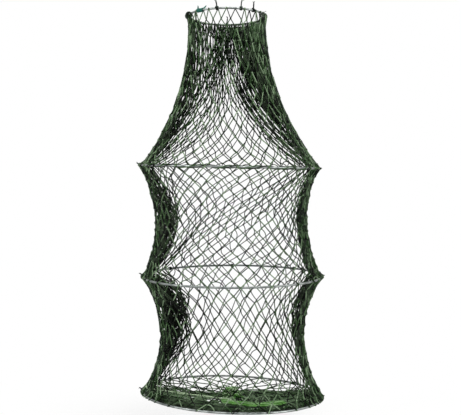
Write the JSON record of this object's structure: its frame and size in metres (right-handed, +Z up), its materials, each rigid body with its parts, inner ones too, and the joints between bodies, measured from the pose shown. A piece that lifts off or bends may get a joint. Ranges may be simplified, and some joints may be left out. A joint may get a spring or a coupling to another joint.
{
  "type": "folding crab trap",
  "caption": "Tubular knotted-mesh crab trap hung on wire hoops, with a narrow open neck, waisted walls and a gathered floor; it folds flat hoop on hoop.",
  "frame": {"origin": "centre of the mouth hoop, which the trap hangs from", "axes": "+Z up along the hung trap, +X to the right, +Y away from the front"},
  "size_m": [0.2875, 0.2759, 0.5912],
  "materials": {
    "hoop_wire": "satin",
    "netting_twine": "matte",
    "tie_twine": "matte",
    "teal_twine": "matte",
    "drawcord": "matte"
  },
  "bodies": {
    "mouth_frame": {"mouth_hoop": "hoop_wire", "mouth_hoop_whipping": "tie_twine", "mouth_hoop_ties": "tie_twine", "mouth_teal_tie": "teal_twine", "neck_net": "netting_twine", "neck_seam_lacing": "tie_twine"},
    "upper_frame": {"upper_hoop": "hoop_wire", "upper_hoop_whipping": "tie_twine", "upper_hoop_ties": "tie_twine", "upper_wall_net": "netting_twine", "upper_seam_lacing": "tie_twine"},
    "middle_frame": {"middle_hoop": "hoop_wire", "middle_hoop_whipping": "tie_twine", "middle_hoop_ties": "tie_twine", "lower_wall_net": "netting_twine", "lower_seam_lacing": "tie_twine"},
    "bottom_frame": {"bottom_hoop": "hoop_wire", "bottom_hoop_whipping": "tie_twine", "bottom_hoop_ties": "tie_twine", "floor_net": "netting_twine", "floor_drawcord": "drawcord", "floor_gather": "netting_twine"}
  },
  "joints": [
    {"name": "neck_fold", "type": "slide", "parent": "mouth_frame", "child": "upper_frame", "axis": [0, 0, 1], "range_m": [0, 0.207], "deforming": ["neck_net", "neck_seam_lacing"]},
    {"name": "upper_fold", "type": "slide", "parent": "upper_frame", "child": "middle_frame", "axis": [0, 0, 1], "range_m": [0, 0.145], "deforming": ["upper_wall_net", "upper_seam_lacing"]},
    {"name": "lower_fold", "type": "slide", "parent": "middle_frame", "child": "bottom_frame", "axis": [0, 0, 1], "range_m": [0, 0.158], "deforming": ["lower_wall_net", "lower_seam_lacing"]}
  ]
}
